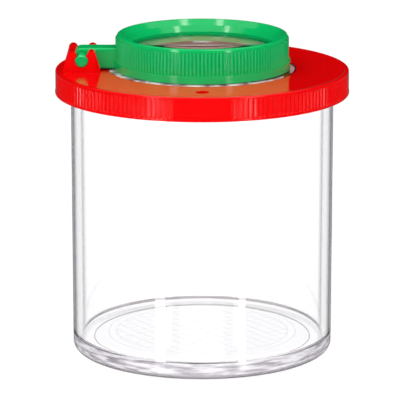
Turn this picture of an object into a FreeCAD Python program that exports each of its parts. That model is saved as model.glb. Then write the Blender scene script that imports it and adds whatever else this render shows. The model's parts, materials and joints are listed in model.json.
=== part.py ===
import FreeCAD, Part
import math
import os
import Sketcher
from types import SimpleNamespace

# Bug viewer: a clear pot, a push-on lid with a lens in its middle, and a second lens in a ring
# that swings over the first on a pin at the lid's left. Millimetres, Z up. The origin is the
# middle of the pot's foot, and the hinge lies on the -X side.

sizes = {
    # Pot: one clear moulding, a little wider at the rim than at the foot.
    "pot_rim_radius": 33.5,
    "pot_draft": 0.15,
    "pot_depth": 71.1,
    "pot_wall": 2.2,
    "pot_floor": 3.8,
    "pot_foot_width": 5.45,
    "pot_foot_rise": 0.5,
    "pot_corner_round": 2.0,
    "pot_inner_round": 0.6,
    "pot_rim_round": 0.5,
    # Lid: a plate, a fluted grip skirt round it, and a plain collar inside that grips the pot.
    "lid_depth": 6.2,
    "lid_plate": 2.0,
    "lid_skirt_wall": 1.5,
    "lid_edge_round": 0.8,
    "lid_band_rise": 0.9,
    "lid_band_stand": 0.1,
    "lid_band_round": 0.5,
    "lid_rest_gap": 0.1,
    "collar_wall": 1.2,
    "collar_lift": 0.9,
    "collar_fit": 0.1,
    "skirt_gap": 1.1,
    "flute_radius": 0.55,
    "flute_sink": 0.4,
    "flute_top_gap": 1.0,
    "flute_step": 2.0,
    "flute_count": 34,
    "grip_panels": 4,
    "vent_radius": 1.7,
    "vent_inset": 2.9,
    "vent_step": 90.0,
    "vent_count": 3,
    # Seat for the lid's lens, with a rim under the plate that carries it and a short sight tube.
    "seat_sink": 1.4,
    "seat_ledge": 6.55,
    "seat_fit": 0.15,
    "seat_rim_wall": 1.7,
    "seat_rim_drop": 1.5,
    "sight_tube_wall": 1.2,
    "sight_tube_drop": 1.5,
    # Lenses: both faces domed, with a flat flange round them.
    "lid_lens_radius": 23.8,
    "lid_lens_flange": 1.5,
    "lid_lens_rim": 6.6,
    "lid_lens_curve": 250.0,
    "swing_lens_radius": 19.9,
    "swing_lens_flange": 1.4,
    "swing_lens_rim": 2.0,
    "swing_lens_curve": 125.0,
    # Swing ring: the ribbed ring, its arm and its pin are one moulding.
    "ring_rest_gap": 0.3,
    "ring_depth": 8.6,
    "ring_wall": 1.7,
    "ring_edge_cut": 0.35,
    "ring_band_stand": 0.8,
    "ring_band_rise": 2.0,
    "ring_edge_width": 0.9,
    "ring_bevel_width": 1.3,
    "ring_bevel_sink": 1.4,
    "ring_lip_width": 1.6,
    "ring_lip_sink": 2.9,
    "ring_lip_thickness": 0.8,
    "ring_lens_fit": 0.1,
    "ring_catch_gap": 0.05,
    "ring_catch": 0.3,
    "rib_radius": 0.42,
    "rib_stand": 0.38,
    "rib_root": 0.3,
    "rib_top_gap": 0.9,
    "rib_count": 144,
    "arm_width": 5.5,
    "arm_rise": 2.7,
    "arm_end": 1.9,
    "arm_end_round": 1.7,
    "arm_edge_round": 0.6,
    "arm_root": 0.6,
    "pin_radius": 1.58,
    "pin_span": 13.0,
    "pin_end_cut": 0.4,
    # Hinge: where the pin lies, and the two clips on the lid that it snaps into.
    "hinge_inset": 6.9,
    "hinge_rise": 2.95,
    "clip_gap": 0.35,
    "clip_thickness": 3.0,
    "clip_width": 7.3,
    "clip_rise": 2.55,
    "clip_mouth": 2.6,
    "clip_fit": 0.1,
    "clip_root": 0.5,
    "gusset_thickness": 1.6,
    "gusset_width": 10.1,
    "gusset_root": 0.5,
}


class Size:
    """A length or place: its value now, and the formula on the sheet's cells that gives it."""

    def __init__(self, formula, value):
        self.formula = formula
        self.value = value

    def joined(self, sign, other, value):
        return Size("(%s %s %s)" % (self.formula, sign, other.formula), value)

    def __add__(self, other):
        return self.joined("+", other, self.value + other.value)

    def __sub__(self, other):
        return self.joined("-", other, self.value - other.value)

    def __mul__(self, other):
        return self.joined("*", other, self.value * other.value)

    def __truediv__(self, other):
        return self.joined("/", other, self.value / other.value)

    def __neg__(self):
        return Size("(-1 * %s)" % self.formula, -self.value)

    def root(self):
        return Size("sqrt(%s)" % self.formula, math.sqrt(self.value))


axis = Size("0", 0.0)
one = Size("1", 1.0)
two = Size("2", 2.0)
full_turn = Size("360", 360.0)


def make_sheet(document):
    sheet = document.addObject("Spreadsheet::Sheet", "Sizes")
    for row, alias in enumerate(sizes, start=1):
        sheet.set("A%d" % row, alias)
        sheet.set("B%d" % row, str(sizes[alias]))
        sheet.setAlias("B%d" % row, alias)
    document.recompute()
    return SimpleNamespace(**{alias: Size("Sizes." + alias, float(sheet.get(alias))) for alias in sizes})


def work_out_places(s):
    """Heights and radii that follow from the sizes and that more than one piece uses."""
    place = SimpleNamespace()
    place.pot_base_radius = s.pot_rim_radius - s.pot_draft
    place.collar_inside = s.pot_rim_radius + s.collar_fit
    place.collar_outside = place.collar_inside + s.collar_wall
    place.skirt_inside = place.collar_outside + s.skirt_gap
    place.lid_radius = place.skirt_inside + s.lid_skirt_wall
    place.lid_under = s.pot_depth + s.lid_rest_gap
    place.lid_top = place.lid_under + s.lid_plate
    place.skirt_foot = place.lid_top - s.lid_depth
    place.lens_ledge = place.lid_top - s.seat_sink
    place.lens_seat_radius = s.lid_lens_radius + s.seat_fit
    place.hinge_x = s.hinge_inset - place.lid_radius
    place.hinge_z = place.lid_top + s.hinge_rise
    place.ring_foot = place.lid_top + s.ring_rest_gap
    place.ring_top = place.ring_foot + s.ring_depth
    place.ring_lens_top = place.ring_top - s.ring_lip_sink - s.ring_lip_thickness
    place.ring_lens_foot = place.ring_lens_top - s.swing_lens_flange
    place.ring_bore = s.swing_lens_radius + s.ring_lens_fit
    place.ring_radius = place.ring_bore + s.ring_wall
    return place


def start_body(document, name):
    body = document.addObject("PartDesign::Body", name)
    body.Label = name
    return body


def origin_feature(body, role):
    return next(feature for feature in body.Origin.OriginFeatures if feature.Role == role)


def start_sketch(body, name, role="XZ_Plane"):
    sketch = body.newObject("Sketcher::SketchObject", name)
    sketch.AttachmentSupport = [(origin_feature(body, role), "")]
    sketch.MapMode = "FlatFace"
    return sketch


def bind_constraint(sketch, kind, references, size):
    index = sketch.addConstraint(Sketcher.Constraint(kind, *references, size.value))
    sketch.setExpression("Constraints[%d]" % index, size.formula)


def place_point(sketch, edge, end, across, up):
    if across is axis:
        sketch.addConstraint(Sketcher.Constraint("PointOnObject", edge, end, -2))
    else:
        bind_constraint(sketch, "DistanceX", (-1, 1, edge, end), across)
    bind_constraint(sketch, "DistanceY", (-1, 1, edge, end), up)


def draw_arc(sketch, here, there, middle, turning):
    """Arc from one corner to the next about its middle: 1 turns against the clock, -1 with it.
    The middle is bound along the direction that the two ends leave free."""
    first, last = (here, there) if turning > 0 else (there, here)
    centre = FreeCAD.Vector(middle[0].value, middle[1].value, 0)
    first_angle = math.atan2(first.y - centre.y, first.x - centre.x)
    last_angle = math.atan2(last.y - centre.y, last.x - centre.x)
    circle = Part.Circle(centre, FreeCAD.Vector(0, 0, 1), (here - centre).Length)
    edge = sketch.addGeometry(Part.ArcOfCircle(circle, first_angle, last_angle), False)
    if abs(there.y - here.y) > abs(there.x - here.x):
        bind_constraint(sketch, "DistanceX", (-1, 1, edge, 3), middle[0])
    else:
        bind_constraint(sketch, "DistanceY", (-1, 1, edge, 3), middle[1])
    return (edge, 1, 2) if turning > 0 else (edge, 2, 1)


def draw_outline(sketch, corners, arcs=None):
    """Closed loop through the corners. arcs gives the middle and the turn of the edge that
    leaves a corner, by the corner's number. Every other edge is straight."""
    arcs = arcs or {}
    edges = []
    for number, (across, up) in enumerate(corners):
        next_across, next_up = corners[(number + 1) % len(corners)]
        here = FreeCAD.Vector(across.value, up.value, 0)
        there = FreeCAD.Vector(next_across.value, next_up.value, 0)
        if number in arcs:
            middle_across, middle_up, turning = arcs[number]
            edges.append(draw_arc(sketch, here, there, (middle_across, middle_up), turning))
        else:
            edges.append((sketch.addGeometry(Part.LineSegment(here, there), False), 1, 2))
    for number, (across, up) in enumerate(corners):
        edge, start, _ = edges[number]
        previous_edge, _, previous_end = edges[number - 1]
        sketch.addConstraint(Sketcher.Constraint("Coincident", previous_edge, previous_end, edge, start))
        place_point(sketch, edge, start, across, up)


def draw_circle(sketch, across, up, radius):
    middle = FreeCAD.Vector(across.value, up.value, 0)
    edge = sketch.addGeometry(Part.Circle(middle, FreeCAD.Vector(0, 0, 1), radius.value), False)
    place_point(sketch, edge, 3, across, up)
    bind_constraint(sketch, "Radius", (edge,), radius)


def turn_profile(body, sketch, name, kind="PartDesign::Revolution", line="V_Axis"):
    feature = body.newObject(kind, name)
    feature.Profile = sketch
    feature.ReferenceAxis = (sketch, [line])
    feature.Angle = full_turn.value
    return feature


def extrude(body, sketch, name, length, kind="PartDesign::Pad", side="One side"):
    feature = body.newObject(kind, name)
    feature.Profile = sketch
    feature.SideType = side
    feature.setExpression("Length", length.formula)
    return feature


def dress_edges(document, body, name, wanted, size, kind="PartDesign::Fillet", value="Radius"):
    """Rounds or chamfers the edges of the body so far that the test in wanted picks out."""
    document.recompute()
    base = body.Tip
    picked = ["Edge%d" % number for number, edge in enumerate(base.Shape.Edges, start=1) if wanted(edge)]
    if not picked:
        raise ValueError("no edge found for " + name)
    feature = body.newObject(kind, name)
    feature.Base = (base, picked)
    feature.setExpression(value, size.formula)
    return feature


def is_near(first, second):
    return abs(first - second) < 1e-4


def rim_at(radius, height):
    """Test for a circle round the Z axis at this radius and height."""
    def wanted(edge):
        if not isinstance(edge.Curve, Part.Circle):
            return False
        middle = edge.Curve.Center
        return is_near(middle.z, height.value) and is_near(edge.Curve.Radius, radius.value)
    return wanted


def make_pattern(document, body, name, count, step):
    """Copies round the Z axis, one step apart, for a pattern on its own or inside another."""
    pattern = document.addObject("PartDesign::PolarPattern", name)
    pattern.Axis = (origin_feature(body, "Z_Axis"), [""])
    pattern.Mode = "Spacing"
    pattern.setExpression("Occurrences", count.formula)
    pattern.setExpression("Offset", step.formula)
    return pattern


def repeat_round(document, body, name, original, count, step):
    pattern = make_pattern(document, body, name, count, step)
    pattern.Originals = [original]
    body.addObject(pattern)
    body.Tip = pattern
    return pattern


def make_pot(document, s, place):
    body = start_body(document, "pot")
    base_radius = place.pot_base_radius
    foot_radius = base_radius - s.pot_foot_width
    inner_foot = base_radius - s.pot_wall
    inner_rim = s.pot_rim_radius - s.pot_wall
    floor_top = s.pot_foot_rise + s.pot_floor
    section = start_sketch(body, "pot_section")
    draw_outline(section, [
        (axis, s.pot_foot_rise),
        (foot_radius, s.pot_foot_rise),
        (foot_radius, axis),
        (base_radius, axis),
        (s.pot_rim_radius, s.pot_depth),
        (inner_rim, s.pot_depth),
        (inner_foot, floor_top),
        (axis, floor_top),
    ])
    turn_profile(body, section, "pot_wall_and_floor")
    dress_edges(document, body, "pot_corner", rim_at(base_radius, axis), s.pot_corner_round)
    dress_edges(document, body, "pot_inner_corner", rim_at(inner_foot, floor_top), s.pot_inner_round)
    dress_edges(document, body, "pot_rim", rim_at(s.pot_rim_radius, s.pot_depth), s.pot_rim_round)
    return body


def make_lid(document, s, place):
    body = start_body(document, "lid")
    collar_foot = place.skirt_foot + s.collar_lift
    band_radius = place.lid_radius + s.lid_band_stand
    band_top = place.skirt_foot + s.lid_band_rise
    seat_rim_radius = place.lens_seat_radius + s.seat_rim_wall
    seat_rim_foot = place.lid_under - s.seat_rim_drop
    seat_opening = place.lens_seat_radius - s.seat_ledge
    tube_outside = seat_opening + s.sight_tube_wall
    tube_foot = seat_rim_foot - s.sight_tube_drop
    section = start_sketch(body, "lid_section")
    draw_outline(section, [
        (seat_opening, place.lens_ledge),
        (seat_opening, tube_foot),
        (tube_outside, tube_foot),
        (tube_outside, seat_rim_foot),
        (seat_rim_radius, seat_rim_foot),
        (seat_rim_radius, place.lid_under),
        (place.collar_inside, place.lid_under),
        (place.collar_inside, collar_foot),
        (place.collar_outside, collar_foot),
        (place.collar_outside, place.lid_under),
        (place.skirt_inside, place.lid_under),
        (place.skirt_inside, place.skirt_foot),
        (band_radius, place.skirt_foot),
        (band_radius, band_top),
        (place.lid_radius, band_top),
        (place.lid_radius, place.lid_top),
        (place.lens_seat_radius, place.lid_top),
        (place.lens_seat_radius, place.lens_ledge),
    ])
    turn_profile(body, section, "lid_plate_and_walls")
    dress_edges(document, body, "lid_edge", rim_at(place.lid_radius, place.lid_top), s.lid_edge_round)
    dress_edges(document, body, "lid_foot_edge", rim_at(band_radius, place.skirt_foot), s.lid_band_round)
    cut_vents(document, body, s, place)
    add_hinge_clips(body, s, place)
    cut_flutes(document, body, s, place, band_top)
    return body


def cut_vents(document, body, s, place):
    """Air holes on the front, right and back: the hinge takes the fourth place."""
    sketch = start_sketch(body, "vent_circle", "XY_Plane")
    sketch.setExpression("AttachmentOffset.Base.z", place.lid_top.formula)
    draw_circle(sketch, axis, s.vent_inset - place.collar_inside, s.vent_radius)
    vent = extrude(body, sketch, "vent", s.lid_plate, "PartDesign::Pocket")
    repeat_round(document, body, "vents", vent, s.vent_count, s.vent_step)


def add_hinge_clips(body, s, place):
    """Two clips, one each side of the arm. Each is a plate with a round socket for the pin
    under a narrower mouth, two prongs with round tops, and a thinner gusset at each side."""
    mouth = s.clip_mouth / two
    half_width = s.clip_width / two
    prong_round = (half_width - mouth) / two
    prong_middle = mouth + prong_round
    shoulder = place.hinge_z + s.clip_rise - prong_round
    socket = s.pin_radius + s.clip_fit
    socket_corner = place.hinge_z + (socket * socket - mouth * mouth).root()
    root = place.lid_top - s.clip_root
    near_side = s.arm_width / two + s.clip_gap
    middle = place.hinge_x
    plate = start_sketch(body, "clip_outline")
    plate.setExpression("AttachmentOffset.Base.z", near_side.formula)
    draw_outline(plate, [
        (middle - half_width, root),
        (middle - half_width, shoulder),
        (middle - mouth, shoulder),
        (middle - mouth, socket_corner),
        (middle + mouth, socket_corner),
        (middle + mouth, shoulder),
        (middle + half_width, shoulder),
        (middle + half_width, root),
    ], {
        1: (middle - prong_middle, shoulder, -1),
        3: (middle, place.hinge_z, 1),
        5: (middle + prong_middle, shoulder, -1),
    })
    clip = extrude(body, plate, "clip", s.clip_thickness)
    gussets = start_sketch(body, "gusset_outlines")
    gusset_side = near_side + (s.clip_thickness - s.gusset_thickness) / two
    gussets.setExpression("AttachmentOffset.Base.z", gusset_side.formula)
    gusset_foot = s.gusset_width / two
    gusset_inside = half_width - s.gusset_root
    draw_outline(gussets, [
        (middle - gusset_foot, root),
        (middle - half_width, shoulder),
        (middle - gusset_inside, shoulder),
        (middle - gusset_inside, root),
    ])
    draw_outline(gussets, [
        (middle + gusset_foot, root),
        (middle + half_width, shoulder),
        (middle + gusset_inside, shoulder),
        (middle + gusset_inside, root),
    ])
    gusset = extrude(body, gussets, "gussets", s.gusset_thickness)
    pair = body.newObject("PartDesign::Mirrored", "clip_pair")
    pair.Originals = [clip, gusset]
    pair.MirrorPlane = (origin_feature(body, "XZ_Plane"), [""])
    body.Tip = pair


def cut_flutes(document, body, s, place, band_top):
    """Upright flutes with round tops, in sectors with a plain panel between each two."""
    middle = place.lid_radius - s.flute_sink + s.flute_radius
    top = place.lid_top - s.flute_top_gap
    section = start_sketch(body, "flute_section")
    draw_outline(section, [
        (middle, band_top),
        (middle + s.flute_radius, band_top),
        (middle + s.flute_radius, top - s.flute_radius),
        (middle, top),
    ], {2: (middle, top - s.flute_radius, 1)})
    sector_angle = full_turn / s.grip_panels
    first_angle = (sector_angle - (s.flute_count - one) * s.flute_step) / two
    upright = FreeCAD.Vector(0, 1, 0)
    turned = FreeCAD.Rotation(upright, first_angle.value)
    section.AttachmentOffset = FreeCAD.Placement(FreeCAD.Vector(), turned)
    section.setExpression("AttachmentOffset.Rotation.Angle", first_angle.formula)
    flute = turn_profile(body, section, "flute", "PartDesign::Groove", "Edge4")
    flutes = body.newObject("PartDesign::MultiTransform", "flutes")
    flutes.Originals = [flute]
    flutes.Transformations = [
        make_pattern(document, body, "flute_sector", s.flute_count, s.flute_step),
        make_pattern(document, body, "flute_sectors", s.grip_panels, sector_angle),
    ]
    body.Tip = flutes


def make_lens(document, name, foot, radius, flange, rim, curve):
    """Clear lens with a dome on each face inside a flat flange, which is as wide as rim."""
    body = start_body(document, name)
    clear = radius - rim
    top = foot + flange
    rim_height = (curve * curve - clear * clear).root()
    dome = curve - rim_height
    section = start_sketch(body, name + "_section")
    draw_outline(section, [
        (axis, foot - dome),
        (clear, foot),
        (radius, foot),
        (radius, top),
        (clear, top),
        (axis, top + dome),
    ], {
        0: (axis, foot + rim_height, 1),
        4: (axis, top - rim_height, 1),
    })
    turn_profile(body, section, name + "_glass")
    return body


def make_swing_ring(document, s, place):
    body = start_body(document, "swing_ring")
    band_top = place.ring_foot + s.ring_band_rise
    band_radius = place.ring_radius + s.ring_band_stand
    mouth = place.ring_radius - s.ring_edge_width
    bevel_radius = mouth - s.ring_bevel_width
    lip_radius = place.ring_bore - s.ring_lip_width
    catch_top = place.ring_lens_foot - s.ring_catch_gap
    section = start_sketch(body, "ring_section")
    draw_outline(section, [
        (place.ring_bore, place.ring_foot),
        (band_radius, place.ring_foot),
        (band_radius, band_top),
        (place.ring_radius, band_top),
        (place.ring_radius, place.ring_top),
        (mouth, place.ring_top),
        (bevel_radius, place.ring_top - s.ring_bevel_sink),
        (lip_radius, place.ring_top - s.ring_lip_sink),
        (lip_radius, place.ring_lens_top),
        (place.ring_bore, place.ring_lens_top),
        (place.ring_bore, catch_top),
        (place.ring_bore - s.ring_catch, catch_top - s.ring_catch),
        (place.ring_bore, catch_top - s.ring_catch * two),
    ])
    turn_profile(body, section, "ring_wall_and_lip")
    dress_edges(document, body, "ring_edge", rim_at(place.ring_radius, place.ring_top), s.ring_edge_cut)
    add_arm_and_pin(document, body, s, place)
    add_ribs(document, body, s, place, band_top)
    return body


def add_arm_and_pin(document, body, s, place):
    left = place.hinge_x - s.arm_end
    right = s.arm_root - place.ring_radius
    top = place.hinge_z + s.arm_rise
    foot = place.ring_foot
    side = s.arm_width / two
    outline = start_sketch(body, "arm_outline")
    draw_outline(outline, [
        (right, foot),
        (left + s.arm_end_round, foot),
        (left, foot + s.arm_end_round),
        (left, top - s.arm_end_round),
        (left + s.arm_end_round, top),
        (right, top),
    ], {
        1: (left + s.arm_end_round, foot + s.arm_end_round, -1),
        3: (left + s.arm_end_round, top - s.arm_end_round, -1),
    })
    extrude(body, outline, "arm", s.arm_width, side="Symmetric")

    def is_top_edge(edge):
        middle = edge.CenterOfMass
        straight = isinstance(edge.Curve, Part.Line)
        return straight and is_near(middle.z, top.value) and is_near(abs(middle.y), side.value)

    dress_edges(document, body, "arm_edges", is_top_edge, s.arm_edge_round)
    circle = start_sketch(body, "pin_circle")
    draw_circle(circle, place.hinge_x, place.hinge_z, s.pin_radius)
    extrude(body, circle, "pin", s.pin_span, side="Symmetric")

    def is_pin_end(edge):
        if not isinstance(edge.Curve, Part.Circle):
            return False
        return is_near(abs(edge.Curve.Center.y), s.pin_span.value / 2)

    dress_edges(document, body, "pin_ends", is_pin_end, s.pin_end_cut, "PartDesign::Chamfer", "Size")


def add_ribs(document, body, s, place, band_top):
    root = band_top - s.rib_root
    circle = start_sketch(body, "rib_circle", "XY_Plane")
    circle.setExpression("AttachmentOffset.Base.z", root.formula)
    draw_circle(circle, place.ring_radius + s.rib_stand - s.rib_radius, axis, s.rib_radius)
    rib = extrude(body, circle, "rib", place.ring_top - s.rib_top_gap - root)
    repeat_round(document, body, "ribs", rib, s.rib_count, full_turn / s.rib_count)


def check_document(document, bodies):
    for item in document.Objects:
        if "Invalid" in item.State or "Error" in item.State:
            raise ValueError("%s failed: %s" % (item.Name, item.State))
    for body in bodies:
        shape = body.Shape
        if shape.isNull() or not shape.isValid() or len(shape.Solids) != 1:
            raise ValueError(body.Label + " is not one valid solid")


def main():
    document = FreeCAD.newDocument("bug_viewer")
    s = make_sheet(document)
    place = work_out_places(s)
    bodies = [
        make_pot(document, s, place),
        make_lid(document, s, place),
        make_lens(document, "lid_lens", place.lens_ledge, s.lid_lens_radius,
                  s.lid_lens_flange, s.lid_lens_rim, s.lid_lens_curve),
        make_swing_ring(document, s, place),
        make_lens(document, "swing_lens", place.ring_lens_foot, s.swing_lens_radius,
                  s.swing_lens_flange, s.swing_lens_rim, s.swing_lens_curve),
    ]
    document.recompute()
    check_document(document, bodies)
    os.makedirs("parts", exist_ok=True)
    for body in bodies:
        body.Shape.exportStep("parts/%s.step" % body.Label)
        print("%s: volume %.1f mm3, %d faces" % (body.Label, body.Shape.Volume, len(body.Shape.Faces)))


main()
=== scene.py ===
import json
import math

import bmesh
import bpy
import numpy as np
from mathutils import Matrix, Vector

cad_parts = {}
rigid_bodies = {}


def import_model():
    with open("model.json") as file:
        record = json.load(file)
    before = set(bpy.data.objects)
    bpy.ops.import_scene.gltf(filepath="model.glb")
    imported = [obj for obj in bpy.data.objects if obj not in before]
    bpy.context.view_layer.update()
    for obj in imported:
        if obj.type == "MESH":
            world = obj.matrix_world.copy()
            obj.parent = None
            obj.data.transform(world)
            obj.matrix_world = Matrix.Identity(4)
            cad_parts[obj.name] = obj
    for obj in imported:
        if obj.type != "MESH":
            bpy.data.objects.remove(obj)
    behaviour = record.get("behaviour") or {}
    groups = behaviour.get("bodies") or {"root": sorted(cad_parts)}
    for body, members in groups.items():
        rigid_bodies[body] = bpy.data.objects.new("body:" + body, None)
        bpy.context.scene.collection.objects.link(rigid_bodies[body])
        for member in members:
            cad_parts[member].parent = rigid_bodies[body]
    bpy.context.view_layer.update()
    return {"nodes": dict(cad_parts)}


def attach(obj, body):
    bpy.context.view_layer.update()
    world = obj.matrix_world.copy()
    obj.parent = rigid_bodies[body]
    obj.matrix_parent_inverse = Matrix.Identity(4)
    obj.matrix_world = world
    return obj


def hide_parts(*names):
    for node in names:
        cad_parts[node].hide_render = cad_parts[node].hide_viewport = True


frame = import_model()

print("frame loaded:", ", ".join(sorted(frame["nodes"])))

mm = 0.001


class Wire:
    # One output socket. Arithmetic on it adds Math nodes, so masks read as expressions.
    def __init__(self, finish, socket):
        self.finish = finish
        self.socket = socket

    def calc(self, operation, *values):
        return self.finish.node("Math", {"operation": operation}, dict(enumerate(values)))

    def __add__(self, other):
        return self.calc("ADD", self, other)

    def __radd__(self, other):
        return self.calc("ADD", other, self)

    def __sub__(self, other):
        return self.calc("SUBTRACT", self, other)

    def __rsub__(self, other):
        return self.calc("SUBTRACT", other, self)

    def __mul__(self, other):
        return self.calc("MULTIPLY", self, other)

    def __rmul__(self, other):
        return self.calc("MULTIPLY", other, self)

    def __truediv__(self, other):
        return self.calc("DIVIDE", self, other)

    def __rtruediv__(self, other):
        return self.calc("DIVIDE", other, self)

    def root(self):
        return self.calc("SQRT", self)

    def size(self):
        return self.calc("ABSOLUTE", self)

    def above(self, limit):
        return self.calc("GREATER_THAN", self, limit)

    def atLeast(self, limit):
        return self.calc("MAXIMUM", self, limit)

    def atMost(self, limit):
        return self.calc("MINIMUM", self, limit)

    def below(self, limit):
        return self.calc("LESS_THAN", self, limit)


class Finish:
    # The node tree of a material or of the world.
    def __init__(self, owner):
        owner.use_nodes = True
        self.owner = owner
        self.tree = owner.node_tree
        self.tree.nodes.clear()

    def node(self, kind, settings=None, values=None, output=0):
        made = self.tree.nodes.new("ShaderNode" + kind)
        for key, setting in (settings or {}).items():
            setattr(made, key, setting)
        for key, value in (values or {}).items():
            if isinstance(value, Wire):
                self.tree.links.new(value.socket, made.inputs[key])
            else:
                made.inputs[key].default_value = value
        return Wire(self, made.outputs[output]) if made.outputs else None

    def place(self):
        return self.node("TexCoord", output="Object")

    def axes(self):
        here = self.place()
        return [self.node("SeparateXYZ", values={0: here}, output=part) for part in range(3)]

    def noise(self, scale, detail):
        return self.node("TexNoise", None, {"Vector": self.place(), "Scale": scale, "Detail": detail})

    def blend(self, amount, first, second):
        # Mix of two colours: (1 - amount) * first + amount * second
        return self.node("Mix", {"data_type": "RGBA"}, {0: amount, 6: first, 7: second}, output=2)

    def spread(self, amount, low, high):
        return low + amount * (high - low)

    def close(self, shader, kind="OutputMaterial", volume=None):
        self.node(kind, None, {"Surface": shader, "Volume": volume} if volume else {"Surface": shader})


def newFinish(name):
    return Finish(bpy.data.materials.new(name))


def addPiece(name, data):
    # An object for a mesh, lamp or camera, with its origin in the middle of the pot's foot
    piece = bpy.data.objects.new(name, data)
    bpy.context.scene.collection.objects.link(piece)
    return piece


def smoothMesh(name, vertices, faces):
    mesh = bpy.data.meshes.new(name)
    mesh.from_pydata(vertices.tolist(), [], faces)
    mesh.polygons.foreach_set("use_smooth", np.ones(len(mesh.polygons), bool))
    mesh.update()
    return mesh


def roundedProfile(corners, steps):
    # Open profile through the corners (r, z, round) in mm. Each round is an arc that leaves one
    # straight run and meets the next at a tangent: the point at share t turns from the first
    # run's normal to the second's, so p(t) = centre + round * normal(t).
    points, normals = [], []
    spots = [np.array(corner[:2], float) for corner in corners]
    for number, corner in enumerate(corners):
        here = spots[number]
        if 0 < number < len(corners) - 1:
            before = here - spots[number - 1]
            after = spots[number + 1] - here
            before = before / np.hypot(*before)
            after = after / np.hypot(*after)
            turn = math.atan2(before[0] * after[1] - before[1] * after[0], before @ after)
            size = corner[2]
            reach = size * math.tan(abs(turn) / 2)
            side = 1.0 if turn > 0 else -1.0
            start = here - before * reach
            centre = start + side * size * np.array([-before[1], before[0]])
            first = math.atan2(*(start - centre)[::-1])
            angles = first + turn * np.linspace(0, 1, steps)
            arc = np.stack([np.cos(angles), np.sin(angles)], 1)
            points.append(centre + size * arc)
            normals.append(arc * side)
        else:
            other = spots[number + 1] - here if number == 0 else here - spots[number - 1]
            other = other / np.hypot(*other)
            points.append(here[None])
            normals.append(np.array([[other[1], -other[0]]]))
    return np.concatenate(points), np.concatenate(normals)


def turnedSurface(name, points, normals, around):
    # Surface of revolution: (r, z) at angle a goes to (r cos a, r sin a, z), with one vertex at
    # each pole where the profile starts or ends on the axis.
    points = points * mm
    angles = np.linspace(0, 2 * math.pi, around, endpoint=False)
    fan = np.stack([np.cos(angles), np.sin(angles)], 1)
    inner = points[1:-1]
    grid = np.empty((len(inner), around, 3))
    grid[:, :, :2] = inner[:, 0, None, None] * fan[None]
    grid[:, :, 2] = inner[:, 1, None]
    slopes = np.empty_like(grid)
    slopes[:, :, :2] = normals[1:-1, 0, None, None] * fan[None]
    slopes[:, :, 2] = normals[1:-1, 1, None]
    poles = np.array([[0, 0, points[0, 1]], [0, 0, points[-1, 1]]])
    vertices = np.concatenate([grid.reshape(-1, 3), poles])
    vertexNormals = np.concatenate([slopes.reshape(-1, 3), [[0, 0, -1], [0, 0, 1]]])
    row = np.arange(around)
    following = (row + 1) % around
    step = np.arange(len(inner) - 1)[:, None] * around
    above = step + around
    quads = np.stack([step + row, step + following, above + following, above + row], 2).reshape(-1, 4)
    last = (len(inner) - 1) * around
    bottomPole, topPole = len(vertices) - 2, len(vertices) - 1
    bottomFan = np.stack([np.full(around, bottomPole), following, row], 1)
    topFan = np.stack([np.full(around, topPole), last + row, last + following], 1)
    mesh = smoothMesh(name, vertices, quads.tolist() + bottomFan.tolist() + topFan.tolist())
    lengths = np.linalg.norm(vertexNormals, axis=1, keepdims=True)
    mesh.normals_split_custom_set_from_vertices((vertexNormals / lengths).tolist())
    return addPiece(name, mesh)


def dress(piece, finish, body, slotName, *nodes):
    # Gives a piece its finish, the body it rides on and the CAD nodes it stands for
    piece.data.materials.clear()
    piece.data.materials.append(finish.owner)
    if body:
        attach(piece, body)
    if nodes:
        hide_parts(*nodes)


def clearPlastic(name, look):
    # Clear plastic with a faint tint inside. Painted glow streaks lie between two heights or past a
    # radius: a whitish opaque share that stands in for light carried inside the plastic, with painted
    # darker shade between.
    finish = newFinish(name)
    haze = finish.noise(look["hazeScale"], 3.0)
    x, y, z = finish.axes()
    radius = (x * x + y * y).root()
    height = finish.noise(look["rippleScale"], 2.0) * look["rippleHeight"]
    colour = finish.blend(haze, look["clear"], look["clearDeep"])
    edge, net, paintedGlow = look["edge"], look["net"], look["paintedGlow"]
    # painted shade: the dark line just inside the outline, above a given height
    colour = finish.blend(paintedEdgeShade(finish, edge) * z.above(edge["from"]), colour, edge["colour"])
    if net:
        lines, disc = measuringNet(finish, net, x, y, z, radius)
        height = height + lines * net["height"]
        # the net's lines are grey, and the grey disc inside the foot is painted shade
        colour = finish.blend(lines * net["lineShare"] + disc * net["paintedShadeShare"], colour, net["colour"])
    shader = finish.node("BsdfPrincipled", None, {
        "Base Color": colour,
        "Roughness": finish.spread(haze, *look["roughness"]),
        "IOR": look["ior"],
        "Transmission Weight": 1.0,
        "Normal": finish.node("Bump", None, {"Strength": 1.0, "Distance": 1.0, "Height": height}),
    })
    # painted glow and painted shade: a whitish opaque share in streaks, darker between, where light
    # carried in the clear plastic shows
    if paintedGlow:
        stretched = finish.node("Mapping", None, {"Vector": finish.place(), "Scale": paintedGlow["stretch"]})
        flow = finish.node("TexNoise", None, {"Vector": stretched, "Scale": paintedGlow["scale"], "Detail": 2.0})
        streak = ((flow - 0.5) * paintedGlow["contrast"] + paintedGlow["share"]).atLeast(paintedGlow["least"]).atMost(1)
        zone = radius.above(paintedGlow["from"]) * x.below(paintedGlow["side"])
        zone = zone * z.above(paintedGlow["above"]) * z.below(paintedGlow["below"])
        rim = radius.above(paintedGlow["rim"]) * x.below(paintedGlow["rimSide"]) + z.above(paintedGlow["lip"])
        rim = rim.atMost(1) * (1 - zone)
        cover = zone * streak + rim * paintedGlow["rimShare"]
        paintedGlowShader = finish.node("BsdfPrincipled", None, {
            "Base Color": finish.blend(streak, paintedGlow["dark"], paintedGlow["colour"]),
            "Roughness": paintedGlow["roughness"],
        })
        shader = finish.node("MixShader", None, {0: cover, 1: shader, 2: paintedGlowShader})
    finish.close(shader, volume=finish.node("VolumeAbsorption", None, look["body"]))
    return finish


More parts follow.
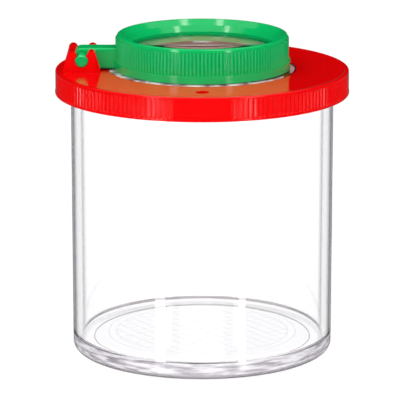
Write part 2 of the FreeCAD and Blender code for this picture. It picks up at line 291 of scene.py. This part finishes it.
def paintedEdgeShade(finish, edge):
    # Painted shade: the dark line that clear plastic shows just inside its outline, painted into the
    # colour where the surface turns nearly edge-on to the view, on upright walls only
    facing = finish.node("LayerWeight", None, {"Blend": 0.5}, output="Facing")
    line = (1 - (facing - edge["facing"]).size() / edge["width"]).atLeast(0)
    upright = finish.node("TexCoord", output="Normal")
    lift = finish.node("SeparateXYZ", None, {0: upright}, output="Z")
    return line * (1 - lift.size() * edge["lean"]).atLeast(0)


def measuringNet(finish, net, x, y, z, radius):
    # Fine raised lines on the pot's floor: a square net, turned a little, inside two circles. A grey disc
    # of painted shade lies on the floor inside the foot.
    cosine, sine = math.cos(net["turn"]), math.sin(net["turn"])
    across = x * cosine + y * sine
    along = y * cosine - x * sine
    halfPitch, halfLine = net["pitch"] / 2, net["line"] / 2
    lines = across.calc("PINGPONG", across, halfPitch).below(halfLine)
    lines = lines.atLeast(along.calc("PINGPONG", along, halfPitch).below(halfLine))
    lines = lines * radius.below(net["circles"][1])
    for circle in net["circles"]:
        lines = lines.atLeast((radius - circle).size().below(halfLine))
    onFloor = z.below(net["below"]) * z.above(net["above"])
    return lines * onFloor, radius.below(net["disc"]) * onFloor


def mouldedPlastic(name, look):
    # Opaque glossy plastic: slow changes of colour, and a fine grain in its gloss
    finish = newFinish(name)
    flow = finish.noise(look["flowScale"], 3.0)
    grain = finish.noise(look["grainScale"], 2.0)
    height = grain * look["grainHeight"]
    shader = finish.node("BsdfPrincipled", None, {
        "Base Color": finish.blend(flow, look["colour"], look["colourDeep"]),
        "Roughness": finish.spread(grain, *look["roughness"]),
        "IOR": look["ior"],
        "Normal": finish.node("Bump", None, {"Strength": 1.0, "Distance": 1.0, "Height": height}),
    })
    finish.close(shader)
    return finish


potLook = {
    "clear": (1.0, 1.0, 1.0, 1), "clearDeep": (0.99, 0.985, 0.995, 1), "hazeScale": 60.0,
    "rippleScale": 90.0, "rippleHeight": 0.000004, "roughness": (0.0, 0.02), "ior": 1.59,
    # painted shade line just inside the pot's outline
    "edge": {"facing": 0.82, "width": 0.1, "lean": 2.0, "colour": (0.06, 0.06, 0.1, 1), "from": 0.0045},
    "body": {"Color": (0.25, 0.1, 0.3, 1), "Density": 4.0},
    "net": {
        "pitch": 0.003, "line": 0.0003, "circles": (0.0242, 0.0222), "turn": 0.6, "above": 0.004,
        # painted shade: a grey disc on the floor inside the foot
        "below": 0.0047, "height": 0.00002, "colour": (0.55, 0.55, 0.57, 1), "disc": 0.0279,
        "lineShare": 0.35, "paintedShadeShare": 0.3,
    },
    # painted glow and shade in the band low on the outer wall, and painted glow along the lip
    "paintedGlow": {
        "from": 0.033, "side": 1.0, "above": 0.0013, "below": 0.0045,  # where the painted glow streaks lie
        "rim": 1.0, "rimSide": 1.0, "lip": 0.0706, "rimShare": 0.6,  # the painted glow along the edge
        "stretch": (0.6, 0.6, 5.0), "scale": 260.0, "contrast": 2.4, "share": 0.78, "least": 0.45,
        "colour": (0.95, 0.935, 0.965, 1), "dark": (0.58, 0.48, 0.62, 1), "roughness": 0.15,
    },
}
lensBody = {"Color": (0.5, 0.25, 0.15, 1), "Density": 65.0}
lensLook = dict(potLook, rippleHeight=0.0, net=None, paintedGlow=None, body=lensBody)
# painted glow on the flange of the lid's lens, only below 12 mm in x, and along its rim below 20.5 mm in
# x, with painted dark red shade between the streaks
lidLensLook = dict(lensLook, paintedGlow={
    "from": 0.0222, "side": 0.012, "above": 0.0, "below": 1.0,
    "rim": 0.0229, "rimSide": 0.0205, "lip": 1.0, "rimShare": 0.85,
    "stretch": (1.0, 1.0, 1.0), "scale": 300.0, "contrast": 3.0, "share": 0.75, "least": 0.2,
    "colour": (0.92, 0.88, 0.94, 1), "dark": (0.45, 0.08, 0.15, 1), "roughness": 0.2,
})
lidLook = {
    "colour": (0.93, 0.002, 0.003, 1), "colourDeep": (0.86, 0.001, 0.002, 1), "flowScale": 45.0,
    "grainScale": 900.0, "grainHeight": 0.000003, "roughness": (0.06, 0.12), "ior": 1.46,
}
ringLook = {
    "colour": (0.004, 0.56, 0.15, 1), "colourDeep": (0.002, 0.51, 0.12, 1), "flowScale": 60.0,
    "grainScale": 1400.0, "grainHeight": 0.000003, "roughness": (0.07, 0.15), "ior": 1.5,
}
potFinish = clearPlastic("clearPot", potLook)
lensFinish = clearPlastic("clearLens", lensLook)
lidLensFinish = clearPlastic("clearLidLens", lidLensLook)
lidFinish = mouldedPlastic("redPlastic", lidLook)
ringFinish = mouldedPlastic("greenPlastic", ringLook)
print("finishes made")


# The sizes of the pieces are in mm, and a look's places on a piece in metres
potSizes = {
    "baseRadius": 33.35, "rimRadius": 33.5, "depth": 71.1, "wall": 2.2, "floorTop": 4.3,
    "footRadius": 27.9, "footRise": 0.5, "cornerRound": 2.0, "innerRound": 0.6, "rimRound": 0.5,
    "edge": 0.15, "roundSteps": 9, "around": 288,
}


def makePot(s):
    # The pot's wall and floor as one closed profile with rounded corners, turned about the upright axis
    points, normals = roundedProfile([
        (0, s["footRise"], 0),
        (s["footRadius"], s["footRise"], s["edge"]),
        (s["footRadius"], 0, s["edge"]),
        (s["baseRadius"], 0, s["cornerRound"]),
        (s["rimRadius"], s["depth"], s["rimRound"]),
        (s["rimRadius"] - s["wall"], s["depth"], s["edge"]),
        (s["baseRadius"] - s["wall"], s["floorTop"], s["innerRound"]),
        (0, s["floorTop"], 0),
    ], s["roundSteps"])
    pot = turnedSurface("potClear", points, normals, s["around"])
    dress(pot, potFinish, "viewer_pot", "clear_pot", "pot")


def makeLens(name, s, finish, body, node):
    # Each dome is part of a large sphere: its height over the flange is the root of curve squared less
    # radius squared, less the same root at the clear edge. The profile is turned about the upright axis.
    spread = np.linspace(0, 1, s["domeSteps"]) * s["clear"]
    dome = np.sqrt(s["curve"] ** 2 - spread ** 2) - math.sqrt(s["curve"] ** 2 - s["clear"] ** 2)
    slope = spread / s["curve"]
    rise = np.sqrt(1 - slope ** 2)
    foot, top, radius = s["foot"], s["foot"] + s["flange"], s["radius"]
    edgePoints, edgeNormals = roundedProfile([
        (s["clear"], foot, 0),
        (radius, foot, s["edge"]),
        (radius, top, s["edge"]),
        (s["clear"], top, 0),
    ], s["roundSteps"])
    lower = np.stack([spread, foot - dome], 1)[:-1]
    lowerNormals = np.stack([slope, -rise], 1)[:-1]
    upper = np.stack([spread, top + dome], 1)[:-1][::-1]
    upperNormals = np.stack([slope, rise], 1)[:-1][::-1]
    lens = turnedSurface(name, np.concatenate([lower, edgePoints, upper]),
                         np.concatenate([lowerNormals, edgeNormals, upperNormals]), s["around"])
    dress(lens, finish, body, "clear_lens", node)


lidLensSizes = {
    "foot": 71.82, "radius": 23.8, "flange": 1.48, "clear": 17.2, "curve": 250.0, "edge": 0.15,
    "domeSteps": 40, "roundSteps": 7, "around": 192,
}
swingLensSizes = {
    "foot": 77.0, "radius": 19.9, "flange": 1.38, "clear": 17.9, "curve": 125.0, "edge": 0.12,
    "domeSteps": 40, "roundSteps": 7, "around": 192,
}
makePot(potSizes)
makeLens("lidLensClear", lidLensSizes, lidLensFinish, "viewer_lid", "lid_lens")
makeLens("swingLensClear", swingLensSizes, lensFinish, "swing_magnifier", "swing_lens")
print("clear pieces made")


skirtSizes = {
    "radius": 37.4, "band": 37.5, "foot": 67.0, "top": 73.2, "hidden": 36.3,
    "topRound": 0.45, "footRound": 0.4, "bandTop": 67.75, "wallFoot": 67.95, "bandRound": 0.08,
    "fluteDepth": 0.3, "fluteHalf": 0.5, "fluteTop": 72.3, "fluteFoot": 67.95, "footSlope": 1.5,
    "step": 2.0, "firstFlute": 12.0, "lastFlute": 78.0, "sector": 90.0,  # degrees
    "rows": ((0.02, 0.12, 4), (0.2, 0.82, 5), (0.86, 0.98, 6)),  # shares of the upright run
    "proud": 0.003, "roundSteps": 6, "around": 2160,
    "inwards": 0.2, "margin": 0.01, "merge": 0.002,  # for the body behind the wall
}


def makeSkirt(s):
    # Fluted wall on a grid of angle and height: the radius is the plain wall's, less the depth times
    # the square of (1 less the square of reach over half width), where reach is how far the point lies
    # from the middle line of the nearest flute. That line stops short of the wall's two ends.
    around, foot, top = s["around"], s["foot"] - s["proud"], s["top"] + s["proud"]
    wall, _ = roundedProfile([
        (s["hidden"], foot, 0),
        (s["band"], foot, s["footRound"]),
        (s["band"], s["bandTop"], s["bandRound"]),
        (s["radius"], s["wallFoot"], s["bandRound"]),
        (s["radius"], top, s["topRound"]),
        (s["hidden"], top, 0),
    ], s["roundSteps"])
    joint = np.argmax(np.diff(wall[:, 1])) + 1  # the long upright run gets rows of its own
    rise = np.concatenate([np.linspace(*run) for run in s["rows"]])
    upright = wall[joint - 1] + rise[:, None] * (wall[joint] - wall[joint - 1])
    wall = np.concatenate([wall[:joint], upright, wall[joint:]])
    angles = np.arange(around) * 360.0 / around
    local = angles % s["sector"]
    nearest = np.clip(np.round(local / s["step"]) * s["step"], s["firstFlute"], s["lastFlute"])
    across = np.abs(local - nearest) * math.pi / 180 * s["radius"]
    past = np.maximum(wall[:, 1] - s["fluteTop"], 0)
    past = past + s["footSlope"] * np.maximum(s["fluteFoot"] - wall[:, 1], 0)
    reach = np.hypot(across[None], past[:, None]) / s["fluteHalf"]
    onWall = (wall[:, 0] > s["radius"] - s["topRound"])[:, None]
    radius = wall[:, 0, None] - onWall * s["fluteDepth"] * np.maximum(1 - reach ** 2, 0) ** 2
    turn = np.radians(angles)[None]
    height = np.broadcast_to(wall[:, 1, None], radius.shape)
    grid = np.stack([radius * np.cos(turn), radius * np.sin(turn), height], 2) * mm
    rows = len(wall)
    row = np.arange(around)
    following = (row + 1) % around
    first = np.arange(rows)[:, None] * around
    second = (np.arange(rows)[:, None] + 1) % rows * around
    quads = np.stack([first + row, first + following, second + following, second + row], 2).reshape(-1, 4)
    skirt = addPiece("lidSkirt", smoothMesh("lidSkirt", grid.reshape(-1, 3), quads.tolist()))
    dress(skirt, lidFinish, "viewer_lid", "lid_plastic")


def makeLidBody(s):
    # The lid behind its fluted wall: a merged copy of the solid lid without the faces of its outer wall,
    # and a plain ring of faces that joins the two round edges which they leave. The copy's own normals
    # travel with its corners.
    source = frame["nodes"]["lid"].data.copy()
    places = np.empty(len(source.vertices) * 3, np.float32)
    source.vertices.foreach_get("co", places)
    corners = np.empty(len(source.loops), np.int32)
    source.loops.foreach_get("vertex_index", corners)
    places = places.reshape(-1, 3)[corners].reshape(-1, 3, 3) / mm
    radius = np.hypot(places[..., 0], places[..., 1]).min(1)
    low, high = places[..., 2].min(1), places[..., 2].max(1)
    outer = radius > s["hidden"] + s["inwards"]
    outer &= (high > s["foot"] + s["margin"]) & (low < s["top"] - s["margin"])
    source.attributes.new("outer", "INT", "FACE").data.foreach_set("value", outer.astype(np.int32))
    slopes = np.empty(len(source.loops) * 3, np.float32)
    source.corner_normals.foreach_get("vector", slopes)
    source.attributes.new("slopes", "FLOAT_VECTOR", "CORNER").data.foreach_set("vector", slopes)
    shape = bmesh.new()
    shape.from_mesh(source)
    bpy.data.meshes.remove(source)
    bmesh.ops.remove_doubles(shape, verts=shape.verts, dist=s["merge"] * mm)
    mark = shape.faces.layers.int["outer"]
    bmesh.ops.delete(shape, geom=[face for face in shape.faces if face[mark]], context="FACES")
    bmesh.ops.bridge_loops(shape, edges=[edge for edge in shape.edges if edge.is_boundary])
    bmesh.ops.recalc_face_normals(shape, faces=shape.faces)
    print("lid body: open edges left", sum(1 for edge in shape.edges if not edge.is_manifold))
    mesh = bpy.data.meshes.new("lidBody")
    shape.to_mesh(mesh)
    shape.free()
    mesh.polygons.foreach_set("use_smooth", np.ones(len(mesh.polygons), bool))
    slopes = np.empty(len(mesh.loops) * 3, np.float32)
    mesh.attributes["slopes"].data.foreach_get("vector", slopes)
    for name in ("slopes", "outer"):
        mesh.attributes.remove(mesh.attributes[name])
    mesh.normals_split_custom_set(slopes.reshape(-1, 3).tolist())
    body = addPiece("lidBody", mesh)
    dress(body, lidFinish, "viewer_lid", "lid_plastic", "lid")


makeSkirt(skirtSizes)
makeLidBody(skirtSizes)
dress(frame["nodes"]["swing_ring"], ringFinish, None, "ring_plastic")
print("lid and swing ring dressed")


stageSizes = {
    "front": -2.0, "back": 3.0, "halfWidth": 2.0, "height": -0.00005,
    "paper": (0.88, 0.88, 0.88, 1), "white": 1.05, "through": 1.2, "shadowShare": 0.08,
}


def makeStage(s):
    # A pale table that shows as white, also through the clear plastic, and keeps a share of the shadow
    half, height = s["halfWidth"], s["height"]
    corners = [(-half, s["front"], height), (half, s["front"], height),
               (half, s["back"], height), (-half, s["back"], height)]
    mesh = bpy.data.meshes.new("paleTable")
    mesh.from_pydata(corners, [], [(0, 1, 2, 3)])
    table = addPiece("paleTable", mesh)
    finish = newFinish("paleTable")
    seen = finish.node("LightPath", output="Is Camera Ray")
    through = finish.node("LightPath", output="Is Transmission Ray")
    paper = finish.node("BsdfDiffuse", None, {"Color": s["paper"]})
    strength = seen * s["white"] + through * s["through"]
    glow = finish.node("Emission", None, {"Color": (1, 1, 1, 1), "Strength": strength})
    share = (seen + through).atMost(1) * (1 - s["shadowShare"])
    finish.close(finish.node("MixShader", None, {0: share, 1: paper, 2: glow}))
    table.visible_glossy = False
    mesh.materials.append(finish.owner)


def makeWorld(day):
    # White where it is seen, plain light on the object, and a pale band low behind it in reflections
    world = bpy.data.worlds.new("studio")
    bpy.context.scene.world = world
    finish = Finish(world)
    seen = finish.node("LightPath", output="Is Camera Ray")
    through = finish.node("LightPath", output="Is Transmission Ray")
    shine = finish.node("LightPath", output="Is Glossy Ray")
    way = finish.node("TexCoord", output="Generated")
    across = finish.node("SeparateXYZ", None, {0: way}, output="Y")
    up = finish.node("SeparateXYZ", None, {0: way}, output="Z")
    low = ((day["horizon"] - up) / day["fade"]).atLeast(0).atMost(1)
    behind = ((across - day["behindFrom"]) / day["behindFade"]).atLeast(0).atMost(1)
    mirror = low * behind * day["mirrorWhite"]
    direct = (seen + through * day["through"]).atMost(day["through"])
    rest = 1 - (seen + through).atMost(1)
    strength = direct + rest * (shine * mirror + (1 - shine) * day["light"])
    sky = finish.node("Background", None, {"Color": (1, 1, 1, 1), "Strength": strength})
    finish.close(sky, "OutputWorld")


def makeLamp(name, lamp):
    # A soft panel that faces the object: azimuth runs from the front to the right, sizes in metres
    data = bpy.data.lights.new(name, "AREA")
    data.shape = "RECTANGLE"
    data.size, data.size_y = lamp["width"], lamp["height"]
    data.energy = lamp["radiance"] * math.pi * lamp["width"] * lamp["height"]
    turn, rise = math.radians(lamp["azimuth"]), math.radians(lamp["elevation"])
    way = Vector((math.sin(turn) * math.cos(rise), -math.cos(turn) * math.cos(rise), math.sin(rise)))
    piece = addPiece(name, data)
    piece.location = way * lamp["distance"] + Vector((0, 0, lamp["aim"]))
    piece.rotation_euler = way.to_track_quat("Z", "Y").to_euler()
    piece.visible_glossy = lamp["mirrored"]


lamps = {
    "leftStrip": {
        "azimuth": -36.5, "elevation": 0, "distance": 0.7, "aim": -0.02,
        "width": 0.115, "height": 0.5, "radiance": 6.0, "mirrored": True},
    "rightStrip": {
        "azimuth": 34.5, "elevation": 0, "distance": 0.7, "aim": -0.02,
        "width": 0.08, "height": 0.5, "radiance": 6.0, "mirrored": True},
    "leftHigh": {
        "azimuth": -58, "elevation": 62, "distance": 0.7, "aim": 0.08,
        "width": 0.06, "height": 0.4, "radiance": 7.0, "mirrored": True},
    "rightHigh": {
        "azimuth": 58, "elevation": 62, "distance": 0.7, "aim": 0.08,
        "width": 0.06, "height": 0.4, "radiance": 7.0, "mirrored": True},
    "overhead": {
        "azimuth": 0, "elevation": 88, "distance": 0.9, "aim": 0.04,
        "width": 1.6, "height": 1.3, "radiance": 0.82, "mirrored": True},
    "frontSoft": {
        "azimuth": 0, "elevation": 18, "distance": 1.3, "aim": 0.04,
        "width": 1.0, "height": 0.6, "radiance": 2.2, "mirrored": False},
}
daylight = {  # strengths of the world's light, and where its pale band begins and fades
    "through": 1.2, "light": 0.46, "mirrorWhite": 0.1,
    "horizon": 0.12, "fade": 0.2, "behindFrom": -0.1, "behindFade": 0.6,
}
makeStage(stageSizes)
makeWorld(daylight)
for lampName, lamp in lamps.items():
    makeLamp(lampName, lamp)

cameraSizes = {"place": (-0.00054, -0.8187, 0.2353), "pitch": 13.51, "lens": 294.5, "sensor": 36.0}
cameraData = bpy.data.cameras.new("photoView")
cameraData.lens = cameraSizes["lens"]
cameraData.sensor_width = cameraSizes["sensor"]
camera = addPiece("photoView", cameraData)
camera.location = cameraSizes["place"]
camera.rotation_euler = (math.radians(90 - cameraSizes["pitch"]), 0, 0)
bpy.context.scene.camera = camera
bpy.context.scene.view_settings.view_transform = "Standard"
print("stage, lamps and camera made")
